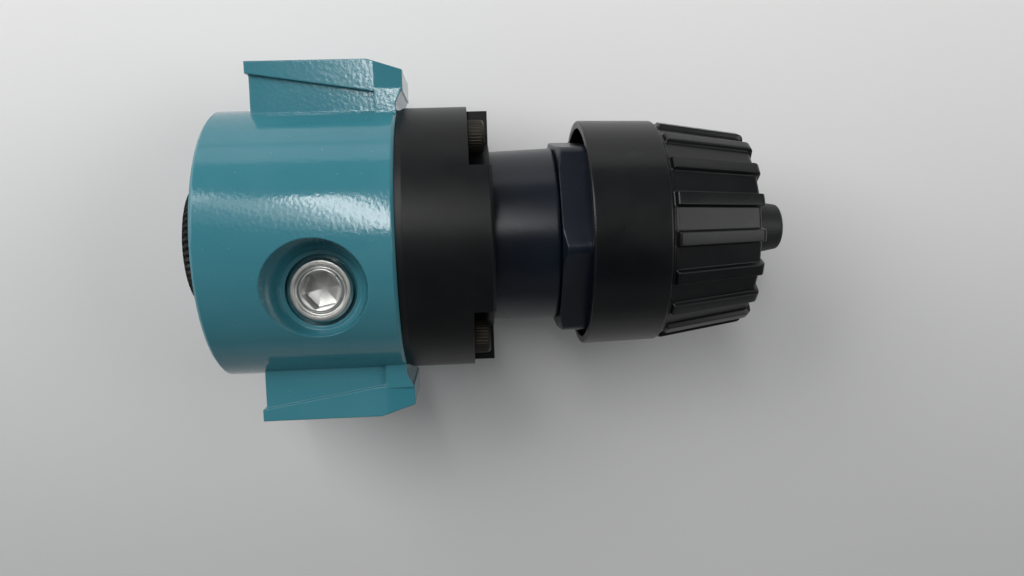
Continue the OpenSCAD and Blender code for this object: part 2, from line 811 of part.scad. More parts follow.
module knob_washer() {
    color(steel) place()
        turned(retainer_low, retainer_low + retainer_h, pocket_r - 0.3, 2.2);
}

// Screw that keeps the knob on the drive.
module knob_screw() {
    head_low = retainer_low + retainer_h;
    color(steel) place() difference() {
        union() {
            turned(retainer_low - 7.5, head_low + 0.1, 2 - 0.02);
            turned(head_low, head_low + retainer_head_h, 3.8);
        }
        hexagon(head_low + retainer_head_h * 0.4, head_low + retainer_head_h + cut, 2.5);
    }
}

// Round cap that closes the end of the knob.
module knob_cap() {
    low = knob_end - cap_base_h;
    tip = cap_d / 2 - cap_taper;
    top = knob_end + cap_len;
    round_r = 1;
    color(black) place()
        rotate_extrude()
            polygon(concat([[0, low], [pocket_r - 0.02, low], [pocket_r - 0.02, knob_end], [cap_d / 2, knob_end]],
                           [for (a = [0:15:90]) [tip - round_r * (1 - cos(a)), top - round_r * (1 - sin(a))]],
                           [[0, top + 0.2]]));
}

body();
bottom_plug();
bottom_plug_seal();
gauge_plug();
gauge_plug_seal();
valve_seat();
valve_seat_seal();
valve_disc();
valve_disc_seal();
valve_stem();
valve_tail_seal();
valve_spring();
aspirator_tube();
diaphragm();
diaphragm_stud();
diaphragm_plate();
regulating_spring();
clamp_ring();
clamp_screws();
spring_cage();
panel_nut();
spring_nut();
adjusting_screw();
thrust_washer();
lock_ring();
knob();
knob_washer();
knob_screw();
knob_cap();
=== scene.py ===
"""Looks of a relieving air pressure regulator: fine meshes, finishes, studio and camera.

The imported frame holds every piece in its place. The classes below build the turned and moulded pieces that
need a finer surface than the frame's, and dress every piece in a procedural finish. Lengths in the classes
are millimetres, and meshes are written in metres.
"""

import logging
import math
from dataclasses import dataclass, field
from enum import Enum

import bpy
import numpy as np
from mathutils import Euler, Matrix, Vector


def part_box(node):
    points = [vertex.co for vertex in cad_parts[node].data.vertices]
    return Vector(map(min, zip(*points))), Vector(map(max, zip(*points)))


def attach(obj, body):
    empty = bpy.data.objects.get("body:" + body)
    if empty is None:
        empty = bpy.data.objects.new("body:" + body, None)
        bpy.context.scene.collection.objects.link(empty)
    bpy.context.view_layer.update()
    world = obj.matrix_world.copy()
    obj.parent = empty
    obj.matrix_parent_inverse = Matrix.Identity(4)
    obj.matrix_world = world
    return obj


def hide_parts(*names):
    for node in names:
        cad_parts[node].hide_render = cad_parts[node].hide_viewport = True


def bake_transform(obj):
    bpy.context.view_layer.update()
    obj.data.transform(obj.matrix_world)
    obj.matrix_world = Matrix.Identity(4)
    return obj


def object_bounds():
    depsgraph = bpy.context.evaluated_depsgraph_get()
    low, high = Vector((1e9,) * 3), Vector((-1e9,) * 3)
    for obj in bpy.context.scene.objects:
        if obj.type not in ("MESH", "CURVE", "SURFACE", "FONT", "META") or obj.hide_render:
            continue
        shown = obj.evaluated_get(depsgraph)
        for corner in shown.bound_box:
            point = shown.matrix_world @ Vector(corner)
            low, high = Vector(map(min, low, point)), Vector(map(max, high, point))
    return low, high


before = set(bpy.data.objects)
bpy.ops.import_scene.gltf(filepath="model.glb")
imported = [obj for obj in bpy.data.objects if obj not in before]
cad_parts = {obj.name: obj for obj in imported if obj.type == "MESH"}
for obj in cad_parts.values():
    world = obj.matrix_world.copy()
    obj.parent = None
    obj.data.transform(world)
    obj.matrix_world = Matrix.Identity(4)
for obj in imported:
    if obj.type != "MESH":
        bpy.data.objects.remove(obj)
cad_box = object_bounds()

MM = 0.001
SHARP_ANGLE = math.radians(38)
FULL_TURN = 2 * math.pi
MAIN_AXIS = (0.0, 0.0, 0.028)
GAUGE_AXIS = (0.0, -0.0095, 0.0)
GUARD_SHARE = 1.15
log = logging.getLogger("regulator")


# ------------ shader maths
class Term:
    """One output of a shader node that can be used in Python expressions."""

    def __init__(self, graph: "Graph", socket: bpy.types.NodeSocket) -> None:
        """Keeps the socket and the graph that new nodes go into.

        Args:
            graph: the node tree.
            socket: the output that this term stands for.
        """
        self.graph = graph
        self.socket = socket

    def _join(self, operation: str, first: "Term | float", second: "Term | float") -> "Term":
        """Adds one Math node.

        Args:
            operation: the Math node's operation.
            first: value of its first socket.
            second: value of its second socket.

        Returns:
            The node's value.
        """
        return self.graph.node("ShaderNodeMath", {"operation": operation}, {0: first, 1: second}, "Value")

    def __add__(self, other: "Term | float") -> "Term":
        """Sum."""
        return self._join("ADD", self, other)

    __radd__ = __add__

    def __mul__(self, other: "Term | float") -> "Term":
        """Product."""
        return self._join("MULTIPLY", self, other)

    __rmul__ = __mul__

    def __sub__(self, other: "Term | float") -> "Term":
        """Difference."""
        return self._join("SUBTRACT", self, other)

    def __rsub__(self, other: float) -> "Term":
        """Difference with the number on the left."""
        return self._join("SUBTRACT", other, self)

    def __pow__(self, other: float) -> "Term":
        """Power."""
        return self._join("POWER", self, other)

    def wave(self, rate: float) -> "Term":
        """Sine of this value times rate, brought into the range from 0 to 1.

        Args:
            rate: radians for each unit of the value.

        Returns:
            The wave.
        """
        return self._join("SINE", self * rate, 0.0) * 0.5 + 0.5

    def window(self, low: float, high: float) -> "Term":
        """Smooth step that is 0 below low and 1 above high.

        Args:
            low: the value where the step starts.
            high: the value where it is complete.

        Returns:
            The step.
        """
        settings = {"interpolation_type": "SMOOTHSTEP"}
        return self.graph.node("ShaderNodeMapRange", settings, {0: self, 1: low, 2: high}, "Result")


Value = Term | float | tuple


class Graph:
    """The node tree of one material, with short calls for the nodes that the finishes use."""

    def __init__(self, name: str) -> None:
        """Starts a material.

        Args:
            name: the material's name.
        """
        self.material = bpy.data.materials.new(name)
        self.material.use_nodes = True
        self.tree = self.material.node_tree
        self.shader = self.tree.nodes["Principled BSDF"]

    def node(self, kind: str, settings: dict[str, object], sockets: dict[str | int, Value],
             output: str | int) -> Term:
        """Adds a node.

        Args:
            kind: the node's type.
            settings: its properties, set before its sockets.
            sockets: the value or the link of each input.
            output: name or number of the output that is wanted.

        Returns:
            That output.
        """
        made = self.tree.nodes.new(kind)
        for key, value in settings.items():
            setattr(made, key, value)
        for key, value in sockets.items():
            self.feed(made.inputs[key], value)
        return Term(self, made.outputs[output])

    def feed(self, socket: bpy.types.NodeSocket, value: Value) -> None:
        """Links a term to a socket, or sets the socket's own value.

        Args:
            socket: an input.
            value: what goes into it.
        """
        if isinstance(value, Term):
            self.tree.links.new(value.socket, socket)
        else:
            socket.default_value = value

    def place(self, stretch: tuple[float, float, float] = (1.0, 1.0, 1.0)) -> Term:
        """Object coordinates, stretched along each axis."""
        place = self.node("ShaderNodeTexCoord", {}, {}, "Object")
        return self.node("ShaderNodeVectorMath", {"operation": "MULTIPLY"}, {0: place, 1: stretch}, "Vector")

    def along(self, axis: str, centre: tuple[float, float, float] = (0.0, 0.0, 0.0)) -> Term:
        """One coordinate of the object, counted from a centre.

        Args:
            axis: X, Y or Z.
            centre: the point where all three coordinates are 0.

        Returns:
            That coordinate, in metres.
        """
        place = self.node("ShaderNodeTexCoord", {}, {}, "Object")
        moved = self.node("ShaderNodeVectorMath", {"operation": "SUBTRACT"}, {0: place, 1: centre}, "Vector")
        return self.node("ShaderNodeSeparateXYZ", {}, {0: moved}, axis)

    def noise(self, size_mm: float, detail: float = 2.0, rough: float = 0.5,
              stretch: tuple[float, float, float] = (1.0, 1.0, 1.0)) -> Term:
        """Noise whose lumps are about size_mm across.

        Args:
            size_mm: size of the largest lumps.
            detail: how many finer layers are added.
            rough: how strong the finer layers are.
            stretch: factor on each coordinate. A factor below 1 draws the lumps out along that axis.

        Returns:
            The noise, around 0.5.
        """
        sockets = {"Vector": self.place(stretch), "Scale": 1.0 / (size_mm * MM), "Detail": detail,
                   "Roughness": rough}
        return self.node("ShaderNodeTexNoise", {}, sockets, 0)

    def blend(self, share: Value, first: Value, second: Value) -> Term:
        """Colour between first and second.

        Args:
            share: how much of the second colour there is, from 0 to 1.
            first: the colour at 0.
            second: the colour at 1.

        Returns:
            The colour.
        """
        settings = {"data_type": "RGBA"}
        return self.node("ShaderNodeMix", settings, {0: share, 6: first, 7: second}, 2)

    def soft_edges(self, radius_mm: float) -> Term:
        """Normal with every edge rounded by that radius, in mm."""
        return self.node("ShaderNodeBevel", {"samples": 6}, {"Radius": radius_mm * MM}, "Normal")

    def edge_mask(self, rounded: Term) -> Term:
        """Mask that is 1 on edges, from how far the rounded normal leans away from the surface's own.

        Args:
            rounded: the normal with its edges rounded.

        Returns:
            The mask.
        """
        own = self.node("ShaderNodeNewGeometry", {}, {}, "Normal")
        dot = self.node("ShaderNodeVectorMath", {"operation": "DOT_PRODUCT"}, {0: rounded, 1: own}, "Value")
        return (1.0 - dot).window(0.02, 0.2)

    def bump(self, height: Term, depth_mm: float, normal: Term | None = None) -> Term:
        """Normal pushed about by a height.

        Args:
            height: a value from 0 to 1.
            depth_mm: how much higher 1 is than 0.
            normal: the normal that the bumps are added to, if it is not the surface's own.

        Returns:
            The new normal.
        """
        sockets = {"Height": height, "Distance": depth_mm * MM}
        if normal is not None:
            sockets["Normal"] = normal
        return self.node("ShaderNodeBump", {}, sockets, "Normal")

    def finish(self, **sockets: Value) -> bpy.types.Material:
        """Sets the shader's sockets.

        Args:
            sockets: value or link of each socket, whose name has underscores for spaces.

        Returns:
            The material.
        """
        for key, value in sockets.items():
            self.feed(self.shader.inputs[key.replace("_", " ")], value)
        return self.material


def grey(value: float) -> tuple[float, float, float, float]:
    """An even colour of that brightness."""
    return (value, value, value, 1.0)


# ------------ finishes
@dataclass(frozen=True)
class PowderCoat:
    """Semi-gloss powder coat on a casting, with orange peel and slightly thin, paler edges."""

    name: str = "teal_powder_coat"
    base: tuple = (0.037, 0.186, 0.232, 1.0)
    pale: tuple = (0.068, 0.230, 0.275, 1.0)
    dust: tuple = (0.36, 0.42, 0.43, 1.0)
    peel_mm: float = 0.8
    peel_depth_mm: float = 0.024
    edge_mm: float = 0.45

    def build(self) -> bpy.types.Material:
        """Builds the material.

        Returns:
            The material.
        """
        graph = Graph(self.name)
        rounded = graph.soft_edges(self.edge_mm)
        edges = graph.edge_mask(rounded)
        cloud = graph.noise(22.0, 3.0, 0.55)
        peel = graph.noise(self.peel_mm, 1.5, 0.4)
        specks = graph.noise(0.7, 2.0, 0.6).window(0.70, 0.78)
        colour = graph.blend(cloud.window(0.35, 0.75) * 0.35, self.base, self.pale)
        colour = graph.blend(edges * 0.55, colour, self.pale)
        colour = graph.blend(specks * 0.22, colour, self.dust)
        rough = 0.10 + cloud * 0.05 + specks * 0.2
        normal = graph.bump(peel, self.peel_depth_mm, rounded)
        return graph.finish(Base_Color=colour, Roughness=rough, Normal=normal, IOR=1.5)


@dataclass(frozen=True)
class Moulding:
    """Moulded plastic with a fine spark-eroded grain, a painted sheen in patches, paler edges that are partly
    rubbed and partly painted sheen, rub marks and a little dust.
    """

    name: str
    base: tuple
    painted_sheen_and_edge_rub: tuple
    rough: float
    grain_mm: float = 0.35
    grain_depth_mm: float = 0.012
    edge_mm: float = 0.3
    edge_share: float = 0.5
    rub: tuple = (0.03, 0.031, 0.032, 1.0)
    specular: float = 0.35

    def build(self) -> bpy.types.Material:
        """Builds the material.

        Returns:
            The material.
        """
        graph = Graph(self.name)
        rounded = graph.soft_edges(self.edge_mm)
        edges = graph.edge_mask(rounded)
        cloud = graph.noise(9.0, 3.0, 0.6)
        grain = graph.noise(self.grain_mm, 2.0, 0.55)
        scuffs = graph.noise(2.2, 3.0, 0.65, (0.35, 1.0, 1.0)).window(0.60, 0.80)
        dust = graph.noise(0.5, 1.0, 0.5).window(0.72, 0.80)
        # Painted sheen: the second colour goes into cloudy patches and, together with rubbing, onto every
        # edge.
        colour = graph.blend(cloud.window(0.3, 0.75) * 0.5, self.base, self.painted_sheen_and_edge_rub)
        colour = graph.blend(edges * self.edge_share, colour, self.painted_sheen_and_edge_rub)
        colour = graph.blend(scuffs * 0.12 + dust * 0.12, colour, self.rub)
        rough = self.rough + cloud * 0.10 - scuffs * 0.06
        normal = graph.bump(grain, self.grain_depth_mm, rounded)
        return graph.finish(Base_Color=colour, Roughness=rough, Normal=normal,
                            Specular_IOR_Level=self.specular)


@dataclass(frozen=True)
class TurnedMetal:
    """Metal with tool marks round an axis, brighter on its edges and duller in random stains."""

    name: str
    base: tuple
    dull: tuple
    rough: float
    axis: str = "X"
    centre: tuple = (0.0, 0.0, 0.0)
    mark_mm: float = 0.16
    mark_depth_mm: float = 0.004
    edge_mm: float = 0.12
    metallic: float = 1.0

    def build(self) -> bpy.types.Material:
        """Builds the material. Marks follow the distance from the axis and the place along it.

        Returns:
            The material.
        """
        graph = Graph(self.name)
        rounded = graph.soft_edges(self.edge_mm)
        edges = graph.edge_mask(rounded)
        sides = "XYZ".replace(self.axis, "")
        across, upright = (graph.along(name, self.centre) for name in sides)
        radius = (across ** 2.0 + upright ** 2.0) ** 0.5
        rings = (radius + graph.along(self.axis, self.centre)).wave(FULL_TURN / (self.mark_mm * MM))
        stain = graph.noise(3.0, 3.0, 0.6)
        fine = graph.noise(0.25, 2.0, 0.6)
        colour = graph.blend(stain.window(0.35, 0.75) * 0.7, self.base, self.dull)
        colour = graph.blend(edges * 0.4, colour, self.base)
        rough = self.rough + stain * 0.14 + fine * 0.06
        normal = graph.bump(rings * 0.6 + fine * 0.4, self.mark_depth_mm, rounded)
        return graph.finish(Base_Color=colour, Roughness=rough, Normal=normal, Metallic=self.metallic)


@dataclass(frozen=True)
class Rubber:
    """Black nitrile rubber with a matt bloom."""

    name: str = "nitrile_rubber"
    base: tuple = (0.012, 0.012, 0.012, 1.0)
    bloom: tuple = (0.045, 0.044, 0.042, 1.0)

    def build(self) -> bpy.types.Material:
        """Builds the material.

        Returns:
            The material.
        """
        graph = Graph(self.name)
        cloud = graph.noise(2.5, 3.0, 0.6)
        fine = graph.noise(0.2, 2.0, 0.6)
        colour = graph.blend(cloud.window(0.4, 0.8) * 0.7, self.base, self.bloom)
        normal = graph.bump(fine, 0.006)
        return graph.finish(Base_Color=colour, Roughness=0.62 + cloud * 0.2, Normal=normal)


class Finish(Enum):
    """The finishes of the regulator's pieces."""

    COAT = PowderCoat()
    # In each moulding the second colour is a painted sheen.
    BLACK = Moulding("black_nylon", (0.0040, 0.0045, 0.0050, 1.0), (0.0085, 0.0090, 0.0095, 1.0), 0.33,
                     specular=0.2)
    KNOB = Moulding("knob_nylon", (0.0024, 0.0028, 0.0034, 1.0), (0.0060, 0.0063, 0.0068, 1.0), 0.26,
                    grain_mm=0.28, grain_depth_mm=0.009)
    # Cap: the knob's black nylon made paler, a painted soft highlight.
    CAP = Moulding("cap_nylon_painted_highlight", (0.0110, 0.0115, 0.0120, 1.0), (0.0200, 0.0205, 0.0210, 1.0), 0.46)
    NAVY = Moulding("navy_acetal", (0.0036, 0.0066, 0.0125, 1.0), (0.0065, 0.0105, 0.0180, 1.0), 0.24,
                    grain_mm=0.5, grain_depth_mm=0.006)
    ZINC = TurnedMetal("plated_zinc", (0.60, 0.60, 0.57, 1.0), (0.40, 0.40, 0.38, 1.0), 0.24, axis="Z",
                       centre=GAUGE_AXIS, mark_mm=0.3)
    PLATE = TurnedMetal("plated_steel", (0.72, 0.71, 0.66, 1.0), (0.50, 0.49, 0.45, 1.0), 0.28,
                        centre=MAIN_AXIS)
    BRASS = TurnedMetal("turned_brass", (0.80, 0.58, 0.26, 1.0), (0.55, 0.38, 0.16, 1.0), 0.24,
                        centre=MAIN_AXIS)
    STEEL = TurnedMetal("drawn_steel", (0.60, 0.60, 0.60, 1.0), (0.36, 0.36, 0.37, 1.0), 0.28,
                        centre=MAIN_AXIS)
    OXIDE = TurnedMetal("black_oxide_steel", (0.034, 0.031, 0.023, 1.0), (0.014, 0.013, 0.010, 1.0), 0.36,
                        metallic=0.7)
    BARE = TurnedMetal("machined_alloy", (0.62, 0.63, 0.63, 1.0), (0.42, 0.43, 0.43, 1.0), 0.30, axis="Y",
                       centre=MAIN_AXIS)
    RUBBER = Rubber()

    def material(self) -> bpy.types.Material:
        """The finish's material, built when it is first asked for."""
        found = bpy.data.materials.get(self.value.name)
        return found or self.value.build()


def dress(piece: bpy.types.Object, finish: Finish) -> None:
    """Gives every material slot of a piece one finish.

    Args:
        piece: the piece.
        finish: its finish.
    """
    slots = piece.data.materials
    if not slots:
        slots.append(None)
    for number in range(len(slots)):
        slots[number] = finish.material()


# ------------ mesh tools
@dataclass(frozen=True)
class Spindle:
    """An axis that turned pieces are built about.

    A point at station s, radius r and angle a lies at origin + s along + r (cos a first + sin a second).
    """

    origin: tuple
    along: tuple = (1.0, 0.0, 0.0)
    first: tuple = (0.0, 1.0, 0.0)
    second: tuple = (0.0, 0.0, 1.0)

    def points(self, stations: np.ndarray, radii: np.ndarray, angles: np.ndarray) -> np.ndarray:
        """Places a grid of points, in metres.

        Args:
            stations: places along the axis in mm, rows by columns.
            radii: distances from the axis in mm, rows by columns.
            angles: angle of each column, in radians.

        Returns:
            Array of rows by columns by 3.
        """
        along, first, second = (np.array(v)[None, None, :] for v in (self.along, self.first, self.second))
        turned = np.cos(angles)[None, :, None] * first + np.sin(angles)[None, :, None] * second
        return np.array(self.origin) + MM * (stations[..., None] * along + radii[..., None] * turned)


def rounded(corners: list[tuple[float, float, float]], closed: bool, steps: int = 6) -> np.ndarray:
    """Turns corners into a profile with rounded corners.

    Each corner (station, radius, cut) becomes the curve (1-t)^2 A + 2t(1-t) P + t^2 B, where A and B lie on
    its two sides at the distance cut from the corner P. A point just outside each end of the curve keeps the
    straight stretches flat.

    Args:
        corners: station, radius and cut of each corner, in mm.
        closed: whether the last corner joins the first.
        steps: pieces in each rounded corner.

    Returns:
        Array of points by 2. The same number of corners gives the same number of points.
    """
    table = np.array(corners, float)
    point, cut = table[:, :2], table[:, 2:3]
    before, after = np.roll(point, 1, 0) - point, np.roll(point, -1, 0) - point
    before /= np.linalg.norm(before, axis=1, keepdims=True)
    after /= np.linalg.norm(after, axis=1, keepdims=True)
    t = np.linspace(0.0, 1.0, steps + 1)[None, :, None]
    near, far, middle = ((point + cut * side)[:, None, :] for side in (before, after, 0.0 * before))
    curve = (1 - t) ** 2 * near + 2 * t * (1 - t) * middle + t ** 2 * far
    guards = ((point + GUARD_SHARE * cut * side)[:, None, :] for side in (before, after))
    rows = np.concatenate([next(guards), curve, next(guards)], axis=1)
    if closed:
        return rows.reshape(-1, 2)
    return np.concatenate([point[:1], rows[1:-1].reshape(-1, 2), point[-1:]])


def grid_mesh(name: str, points: np.ndarray, loop: bool, poles: bool = False,
              ends: bool = False) -> bpy.types.Object:
    """Makes an object from a grid of points whose columns go round.

    Args:
        name: the object's name.
        points: rows by columns by 3.
        loop: whether the last row joins the first.
        poles: whether the first and last rows shrink to one point each.
        ends: whether the first and last rows are each closed with one flat face.

    Returns:
        The object, with its faces pointing outwards.
    """
    rows, columns = points.shape[:2]
    index = np.arange(rows * columns).reshape(rows, columns)
    vertices = points.reshape(-1, 3)
    if poles:
        vertices = np.concatenate([points[1:-1].reshape(-1, 3), points[:1, 0], points[-1:, 0]])
        index = np.arange((rows - 2) * columns).reshape(rows - 2, columns)
    under = index if loop else index[:-1]
    over = np.roll(index, -1, 0) if loop else index[1:]
    quads = np.stack([under, np.roll(under, -1, 1), np.roll(over, -1, 1), over], -1).reshape(-1, 4)
    faces = quads.tolist()
    if poles:
        low, high = len(vertices) - 2, len(vertices) - 1
        first, last = index[0], index[-1]
        low_fan = np.stack([np.full(columns, low), np.roll(first, -1), first], -1)
        high_fan = np.stack([np.full(columns, high), last, np.roll(last, -1)], -1)
        faces += low_fan.tolist() + high_fan.tolist()
    if ends:
        faces += [index[0][::-1].tolist(), index[-1].tolist()]
    if signed_volume(vertices, quads) < 0:
        faces = [face[::-1] for face in faces]
    mesh = bpy.data.meshes.new(name)
    mesh.from_pydata(vertices.tolist(), [], faces)
    mesh.shade_smooth()
    mesh.set_sharp_from_angle(angle=SHARP_ANGLE)
    made = bpy.data.objects.new(name, mesh)
    bpy.context.scene.collection.objects.link(made)
    return made


def signed_volume(vertices: np.ndarray, quads: np.ndarray) -> float:
    """Volume that a skin of quads encloses: a sixth of the sum of its triangles' corner products.

    Args:
        vertices: points by 3.
        quads: the four vertices of each face.

    Returns:
        The volume, negative if the skin is inside out.
    """
    centre = vertices.mean(0)
    a, b, c, d = (vertices[quads[:, k]] - centre for k in range(4))
    return float((np.cross(a, b) * c).sum() + (np.cross(a, c) * d).sum()) / 6


def merge(name: str, parts: list[bpy.types.Object]) -> bpy.types.Object:
    """Joins separate solids into one object.

    Args:
        name: the object's name.
        parts: the solids, of which the first one takes the others in.

    Returns:
        The object.
    """
    with bpy.context.temp_override(active_object=parts[0], selected_editable_objects=parts):
        bpy.ops.object.join()
    parts[0].name = name
    parts[0].data.name = name
    return parts[0]


def hexagon(angles: np.ndarray, across: float, turn: float = 0.0) -> np.ndarray:
    """Distance from the centre of a hexagon to its side: half across over the cosine from the nearest flat.

    Args:
        angles: directions, in radians.
        across: the hexagon's size over its flats.
        turn: direction of one flat, in radians.

    Returns:
        The distance in each direction.
    """
    sixth = math.pi / 3
    return across / 2 / np.cos((angles - turn + sixth / 2) % sixth - sixth / 2)


def even_angles(count: int) -> np.ndarray:
    """That many angles round a turn, in radians."""
    return np.arange(count) * FULL_TURN / count


def on_columns(stations: np.ndarray, angles: np.ndarray) -> np.ndarray:
    """The same station on every column of a grid."""
    return np.repeat(stations[:, None], len(angles), 1)


def climb(stations: np.ndarray, angles: np.ndarray, pitch: float) -> np.ndarray:
    """Height of a screw thread: a triangle wave of station / pitch - angle / full turn.

    Args:
        stations: places along the axis in mm.
        angles: angle of each column, in radians.
        pitch: the climb of one turn, in mm.

    Returns:
        Array of stations by angles, 1 where the wave peaks and 0 half a pitch away.
    """
    phase = stations[:, None] / pitch - angles[None, :] / FULL_TURN
    return np.abs((phase % 1.0) * 2 - 1)


def finer(profile: np.ndarray, times: int) -> np.ndarray:
    """A closed profile with more points, evenly between its own.

    Args:
        profile: points by 2.
        times: how many points each point becomes.

    Returns:
        The finer profile.
    """
    places = np.linspace(0, len(profile), times * len(profile), endpoint=False)
    closed = np.concatenate([profile, profile[:1]])
    return np.stack([np.interp(places, np.arange(len(closed)), closed[:, k]) for k in (0, 1)], -1)


# ------------ pieces
def main_spindle(node: str) -> Spindle:
    """The main axis as a spindle.

    Args:
        node: the node whose low end is station 0.

    Returns:
        The spindle.
    """
    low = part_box(node)[0]
    knob_low, knob_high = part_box("knob")
    return Spindle((low.x, (knob_low.y + knob_high.y) / 2, (knob_low.z + knob_high.z) / 2))


@dataclass
class Knob:
    """Adjusting knob: smooth skirt and a tapered grip whose ribs wrap over the edge of its end face."""

    lip_in: float = 23.09
    skirt_r: float = 24.79
    flare: float = 0.4
    step: float = 0.3
    skirt_len: float = 16.8
    grip_len: float = 19.9
    rib_count: int = 18
    rib_h: float = 0.8
    taper: float = 3.0
    first_rib_deg: float = 93.3
    half_rib_deg: float = 3.7
    flank_deg: float = 0.55
    end_edge: float = 4.0
    pocket_r: float = 7.2
    pocket_depth: float = 9.0
    hub_r: float = 5.6
    hub_depth: float = 14.0
    sleeve_r: float = 16.15
    sleeve_foot: float = 12.75
    wall: float = 2.2
    least_rib: float = 0.3

    def columns(self) -> tuple[np.ndarray, np.ndarray]:
        """Angles that crowd at the flanks of each rib.

        Returns:
            The angle of each column, and its distance from the middle of the nearest rib, both in radians.
        """
        half, flank, half_pitch = self.half_rib_deg, self.flank_deg, 180.0 / self.rib_count
        side = np.array([0.0, 0.5 * half, half - 2.2 * flank, half - flank, half - 0.5 * flank, half,
                         half + 0.5 * flank, half + flank, half + 2.0 * flank, 0.5 * (half + half_pitch)])
        offsets = np.concatenate([-side[:0:-1], side, [half_pitch]])
        middles = self.first_rib_deg + np.arange(self.rib_count) * 2 * half_pitch
        angles = np.radians(middles[:, None] + offsets[None, :]).ravel()
        return angles, np.radians(np.tile(np.abs(offsets), self.rib_count))

    def profiles(self) -> tuple[np.ndarray, np.ndarray]:
        """Profiles of the floor between the ribs and of the ribs' tops, which have the same points inside.

        Returns:
            Two arrays of points by 2, closed through the hollow inside.
        """
        start, grip_r, rim_r = self.skirt_len, self.skirt_r - self.step, self.skirt_r + self.flare
        tip = grip_r - self.taper
        floor_r, floor_tip = grip_r - self.rib_h, tip - self.rib_h
        end, face = start + self.grip_len, start + self.grip_len - self.rib_h
        face_r = tip - self.end_edge
        boss_r, sleeve_out, web = self.pocket_r + self.wall, self.sleeve_r + self.wall, face - 2 * self.wall
        pocket, hub = face - self.pocket_depth, face - self.hub_depth
        lead = [(0.0, self.lip_in + self.flare, 0.25), (0.0, rim_r, 0.5), (start - 0.55, self.skirt_r, 0.35)]
        floor = lead + [(start - 0.1, floor_r, 0.2), (start + 0.35, floor_r - 0.02, 0.12),
                        (start + 0.95, floor_r - 0.08, 0.2), (face, floor_tip, 0.9), (face, face_r, 0.3)]
        crest = lead + [(start - 0.1, floor_r - 0.15, 0.2), (start + 0.35, floor_r - 0.02, 0.12),
                        (start + 0.95, grip_r + 0.02, 0.3), (end, tip, 1.2), (end, face_r, 0.3)]
        hollow = [(face, face_r - self.rib_h, 0.3), (face, self.pocket_r, 0.25), (pocket, self.pocket_r, 0.3),
                  (pocket, self.hub_r, 0.2), (hub, self.hub_r, 0.2), (hub, boss_r, 0.3),
                  (face - self.wall, boss_r, 0.5), (face - self.wall, self.sleeve_r, 0.5),
                  (self.sleeve_foot, self.sleeve_r, 0.3), (self.sleeve_foot, sleeve_out, 0.3),
                  (web, sleeve_out, 0.1), (web, sleeve_out + 0.4, 0.1),
                  (start, floor_r - self.wall, 0.5), (start - self.wall, self.lip_in, 0.5)]
        return rounded(floor + hollow, True), rounded(crest + hollow, True)

    def build(self) -> bpy.types.Object:
        """Blends the two profiles by angle: floor + w (crest - floor), with w a smooth step on each flank.

        The floor between two ribs is flat: its radius is divided by the cosine of the angle from its middle.

        Returns:
            The knob.
        """
        angles, offset = self.columns()
        half, flank = math.radians(self.half_rib_deg), math.radians(self.flank_deg)
        step = np.clip((half + flank - offset) / (2 * flank), 0.0, 1.0)
        weight = (step * step * (3 - 2 * step))[None, :]
        floor, crest = self.profiles()
        stations = floor[:, :1] + weight * (crest[:, :1] - floor[:, :1])
        pitch = math.pi / self.rib_count
        panel = np.cos(pitch - half) / np.cos(np.clip(pitch - offset, 0.0, pitch - half))
        on_grip = (np.abs(crest - floor).sum(1) > self.least_rib)[:, None]
        floor_radii = floor[:, 1:] * np.where(on_grip, panel[None, :], 1.0)
        radii = floor_radii + weight * (crest[:, 1:] - floor_radii)
        return grid_mesh("adjusting_knob", main_spindle("knob").points(stations, radii, angles), True)


@dataclass
class SpringCage:
    """Neck of the spring cage with its panel thread, cut as a ridge that climbs one pitch a turn."""

    foot_r: float = 21.5
    foot_h: float = 3.46
    neck_r: float = 18.8
    neck_top_r: float = 19.3
    ring_len: float = 19.3
    neck_len: float = 14.2
    thread_r: float = 15.0
    thread_len: float = 23.5
    thread_rows: int = 190
    pitch: float = 1.5
    depth: float = 0.6
    foot_bore_r: float = 15.8
    bore_r: float = 13.0
    bore_foot: float = 15.5
    taper_foot: float = 11.5
    screw_hole_r: float = 5.05
    end_wall: float = 3.0

    def build(self) -> bpy.types.Object:
        """Turns the cage. The thread falls from its crest by depth times the height that climb() gives.

        Returns:
            The cage.
        """
        shoulder = self.ring_len + self.neck_len - 0.02
        end = shoulder + self.thread_len
        outside = rounded([(0.0, self.foot_bore_r, 0.2), (0.0, self.foot_r, 0.2),
                           (self.foot_h, self.foot_r, 0.3), (self.foot_h, self.neck_r, 0.4),
                           (self.ring_len - 0.02, self.neck_r, 1.0), (shoulder, self.neck_top_r, 0.8),
                           (shoulder, self.thread_r, 0.2), (end - 0.01, self.thread_r, 0.01)], False)
        run_in = np.linspace(shoulder + 1.2, end - self.depth, self.thread_rows)
        thread = np.stack([run_in, np.full_like(run_in, self.thread_r)], -1)
        ceiling = end - self.end_wall
        inside = rounded([(end, 12.0, 0.01), (end, self.screw_hole_r, 0.2), (ceiling, self.screw_hole_r, 0.2),
                          (ceiling, self.bore_r, 0.3), (self.bore_foot, self.bore_r, 1.0),
                          (self.taper_foot, self.foot_bore_r, 1.0), (1.0, self.foot_bore_r, 0.2)], False)
        shoulder_rows = outside[outside[:, 0] <= shoulder + 0.3]
        profile = np.concatenate([shoulder_rows, thread, [[end, self.thread_r - self.depth]], inside])
        angles = even_angles(128)
        first = len(shoulder_rows)
        cut = np.zeros((len(profile), 1))
        cut[first + 2:first + len(thread) - 2] = self.depth
        radii = profile[:, 1:] - cut * climb(profile[:, 0], angles, self.pitch)
        stations = on_columns(profile[:, 0], angles)
        return grid_mesh("threaded_cage", main_spindle("spring_cage").points(stations, radii, angles), True)


